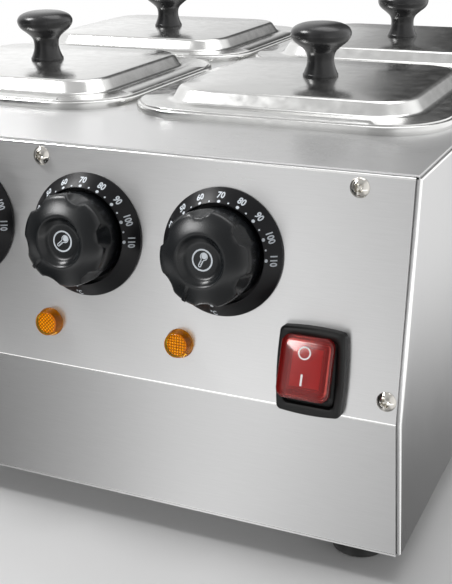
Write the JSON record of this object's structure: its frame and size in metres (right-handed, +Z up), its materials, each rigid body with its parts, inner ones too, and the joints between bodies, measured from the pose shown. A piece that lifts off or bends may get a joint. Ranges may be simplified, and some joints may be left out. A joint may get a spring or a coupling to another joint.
{
  "type": "chocolate melter",
  "caption": "Countertop dry heat chocolate melter with lift-out lidded pans, dial thermostats, amber lamps and a rocker switch on a leaning steel front.",
  "frame": {"origin": "on the plane of the feet, at the middle of the whole melter's width and depth, knobs and cord gland included", "axes": "+X to the right seen from the front, +Y from the front to the rear, +Z up"},
  "size_m": [0.375, 0.4574, 0.245],
  "materials": {
    "stainless": "brushed, lengthwise grain",
    "bright_steel": "polished",
    "plated_steel": "plain sheet",
    "heater": "flat heater in a thin case",
    "copper": "drawn tube",
    "wire": "sleeved",
    "nylon": "moulded",
    "black_rubber": "satin",
    "amber": "clear amber with a fine grid",
    "clear_red": "soft clear red",
    "black_plastic": "satin, fine grain"
  },
  "bodies": {
    "casing": {"front_panel": "stainless", "front_rail": "plated_steel", "side_panel_left": "stainless", "side_panel_right": "stainless", "rear_panel": "stainless", "base_plate": "stainless", "deck_plate": "stainless", "panel_screws": "bright_steel", "rear_screws": "bright_steel", "foot_screws": "bright_steel", "thermostat_screws": "bright_steel", "feet": "black_rubber", "well_1": "plated_steel", "well_2": "plated_steel", "well_3": "plated_steel", "well_4": "plated_steel", "heater_1": "heater", "heater_2": "heater", "heater_3": "heater", "heater_4": "heater", "thermostat_1": "plated_steel", "thermostat_2": "plated_steel", "thermostat_3": "plated_steel", "thermostat_4": "plated_steel", "capillary_tubes": "copper", "wiring": "wire", "terminal_block": "nylon", "cable_gland": "black_plastic", "bezel_1": "black_plastic", "bezel_2": "black_plastic", "bezel_3": "black_plastic", "bezel_4": "black_plastic", "lamp_lenses": "amber", "lamp_bodies": "black_plastic", "switch_frame": "black_rubber", "switch_body": "black_plastic"},
    "dial_1": {"knob_1": "black_plastic", "spindle_1": "bright_steel"},
    "dial_2": {"knob_2": "black_plastic", "spindle_2": "bright_steel"},
    "dial_3": {"knob_3": "black_plastic", "spindle_3": "bright_steel"},
    "dial_4": {"knob_4": "black_plastic", "spindle_4": "bright_steel"},
    "rocker": {"switch_rocker": "clear_red", "switch_skirt": "black_rubber", "switch_cap": "clear_red"},
    "pan_1_lift": {"pan_1": "stainless"},
    "lid_1_lift": {"lid_1": "stainless", "lid_knob_1": "black_plastic"},
    "pan_2_lift": {"pan_2": "stainless"},
    "lid_2_lift": {"lid_2": "stainless", "lid_knob_2": "black_plastic"},
    "pan_3_lift": {"pan_3": "stainless"},
    "lid_3_lift": {"lid_3": "stainless", "lid_knob_3": "black_plastic"},
    "pan_4_lift": {"pan_4": "stainless"},
    "lid_4_lift": {"lid_4": "stainless", "lid_knob_4": "black_plastic"}
  },
  "joints": [
    {"name": "dial_1_turn", "type": "hinge", "parent": "casing", "child": "dial_1", "pos_m": [-0.118, -0.20217, 0.16041], "axis": [0, 0.9903, -0.1392], "range_deg": [0, 246]},
    {"name": "dial_2_turn", "type": "hinge", "parent": "casing", "child": "dial_2", "pos_m": [-0.046, -0.20217, 0.16041], "axis": [0, 0.9903, -0.1392], "range_deg": [0, 246]},
    {"name": "dial_3_turn", "type": "hinge", "parent": "casing", "child": "dial_3", "pos_m": [0.026, -0.20217, 0.16041], "axis": [0, 0.9903, -0.1392], "range_deg": [-24, 222]},
    {"name": "dial_4_turn", "type": "hinge", "parent": "casing", "child": "dial_4", "pos_m": [0.098, -0.20217, 0.16041], "axis": [0, 0.9903, -0.1392], "range_deg": [0, 246]},
    {"name": "rocker_tip", "type": "hinge", "parent": "casing", "child": "rocker", "pos_m": [0.1452, -0.20348, 0.11162], "axis": [1, 0, 0], "range_deg": [0, 25]},
    {"name": "pan_1_out", "type": "slide", "parent": "casing", "child": "pan_1_lift", "axis": [0, 0, 1], "range_m": [0, 0.13]},
    {"name": "lid_1_off", "type": "slide", "parent": "pan_1_lift", "child": "lid_1_lift", "axis": [0, 0, 1], "range_m": [0, 0.06]},
    {"name": "pan_2_out", "type": "slide", "parent": "casing", "child": "pan_2_lift", "axis": [0, 0, 1], "range_m": [0, 0.13]},
    {"name": "lid_2_off", "type": "slide", "parent": "pan_2_lift", "child": "lid_2_lift", "axis": [0, 0, 1], "range_m": [0, 0.06]},
    {"name": "pan_3_out", "type": "slide", "parent": "casing", "child": "pan_3_lift", "axis": [0, 0, 1], "range_m": [0, 0.13]},
    {"name": "lid_3_off", "type": "slide", "parent": "pan_3_lift", "child": "lid_3_lift", "axis": [0, 0, 1], "range_m": [0, 0.06]},
    {"name": "pan_4_out", "type": "slide", "parent": "casing", "child": "pan_4_lift", "axis": [0, 0, 1], "range_m": [0, 0.13]},
    {"name": "lid_4_off", "type": "slide", "parent": "pan_4_lift", "child": "lid_4_lift", "axis": [0, 0, 1], "range_m": [0, 0.06]}
  ]
}
